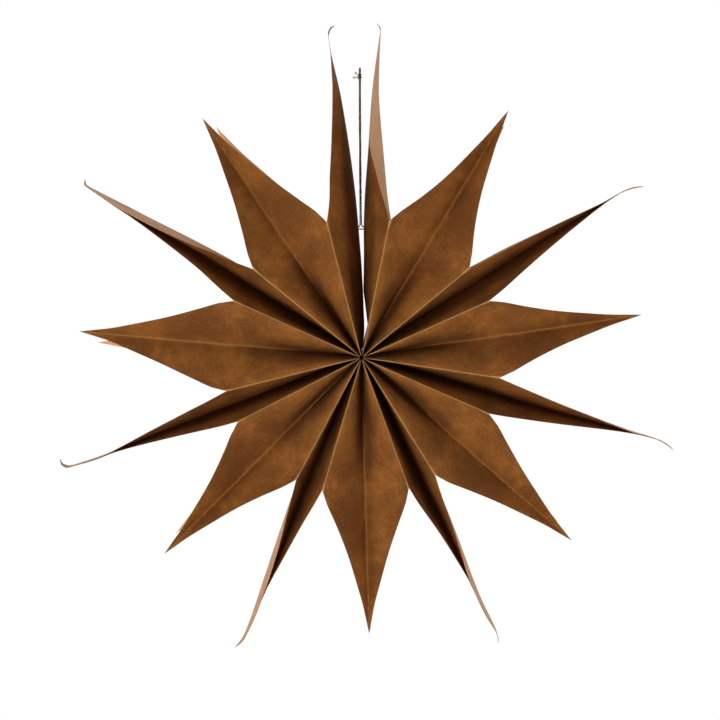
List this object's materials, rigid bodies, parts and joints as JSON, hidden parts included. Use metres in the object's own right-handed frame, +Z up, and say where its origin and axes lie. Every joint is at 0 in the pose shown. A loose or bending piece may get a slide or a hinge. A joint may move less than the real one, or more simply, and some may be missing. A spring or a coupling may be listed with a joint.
{
  "type": "hanging paper bag star",
  "caption": "Gusseted kraft paper bags with cut points, glued side by side and fanned into a hanging star, with a twine loop through its two free end panels.",
  "frame": {"origin": "inside top of the twine's eye, where a hook or nail would carry the star", "axes": "+Z up; the open face of the star looks to -Y; +X to the right as seen from the front"},
  "size_m": [0.4592, 0.1242, 0.4643],
  "materials": {
    "kraft_paper": "matt, finely mottled brown kraft",
    "twine": "matt twisted jute"
  },
  "bodies": {
    "root": {"bag_1": "kraft_paper", "bag_2": "kraft_paper", "bag_3": "kraft_paper", "bag_4": "kraft_paper", "bag_5": "kraft_paper", "bag_6": "kraft_paper", "bag_7": "kraft_paper", "hanging_twine": "twine", "twine_knot": "twine"}
  },
  "joints": []
}
